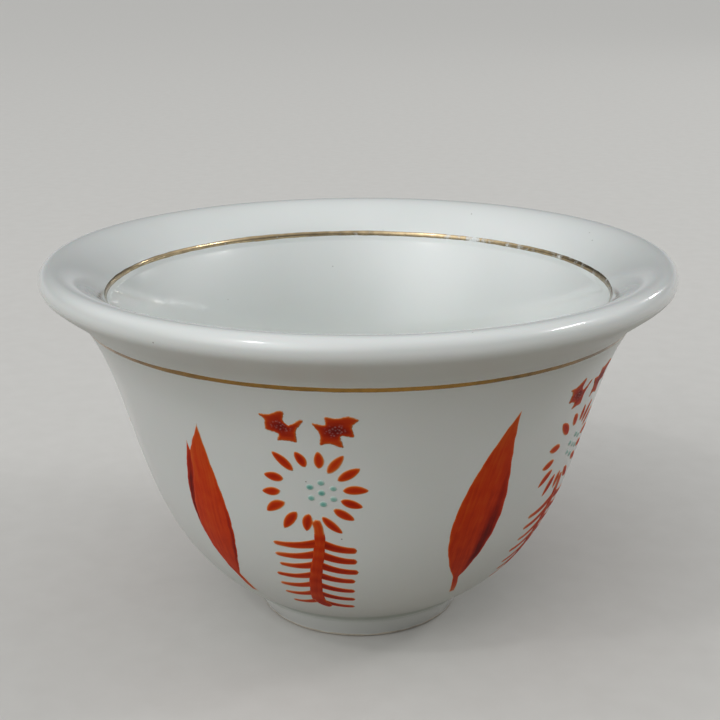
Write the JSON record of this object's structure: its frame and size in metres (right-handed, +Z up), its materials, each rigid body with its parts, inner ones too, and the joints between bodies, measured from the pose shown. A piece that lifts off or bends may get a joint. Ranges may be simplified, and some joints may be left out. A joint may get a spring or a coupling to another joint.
{
  "type": "coffee cup",
  "caption": "Small handleless porcelain coffee cup with a flared rounded lip, a turned foot ring, gold lines and a painted border of flowers and feathers.",
  "frame": {"origin": "centre of the foot ring's contact face, on the table", "axes": "+Z up along the cup's axis; the first painted flower faces -Y, turned 9.5 degrees towards -X"},
  "size_m": [0.075, 0.075, 0.045],
  "materials": {
    "porcelain": "clear gloss glaze over white porcelain",
    "foot": "clear gloss glaze, bare matt porcelain on the contact face",
    "gold": "fired liquid gold, slightly worn",
    "red_enamel": "iron-red overglaze enamel, brush-streaked, semi-gloss",
    "turquoise_enamel": "turquoise overglaze enamel, glossy"
  },
  "bodies": {
    "root": {"cup_body": "porcelain", "foot_ring": "foot", "outer_gold_line": "gold", "inner_gold_line": "gold", "feather_1": "red_enamel", "feather_2": "red_enamel", "feather_3": "red_enamel", "feather_4": "red_enamel", "feather_5": "red_enamel", "buds_1": "red_enamel", "buds_2": "red_enamel", "buds_3": "red_enamel", "buds_4": "red_enamel", "buds_5": "red_enamel", "petals_1": "red_enamel", "petals_2": "red_enamel", "petals_3": "red_enamel", "petals_4": "red_enamel", "petals_5": "red_enamel", "dots_1": "turquoise_enamel", "dots_2": "turquoise_enamel", "dots_3": "turquoise_enamel", "dots_4": "turquoise_enamel", "dots_5": "turquoise_enamel", "stem_1": "red_enamel", "stem_2": "red_enamel", "stem_3": "red_enamel", "stem_4": "red_enamel", "stem_5": "red_enamel"}
  },
  "joints": []
}
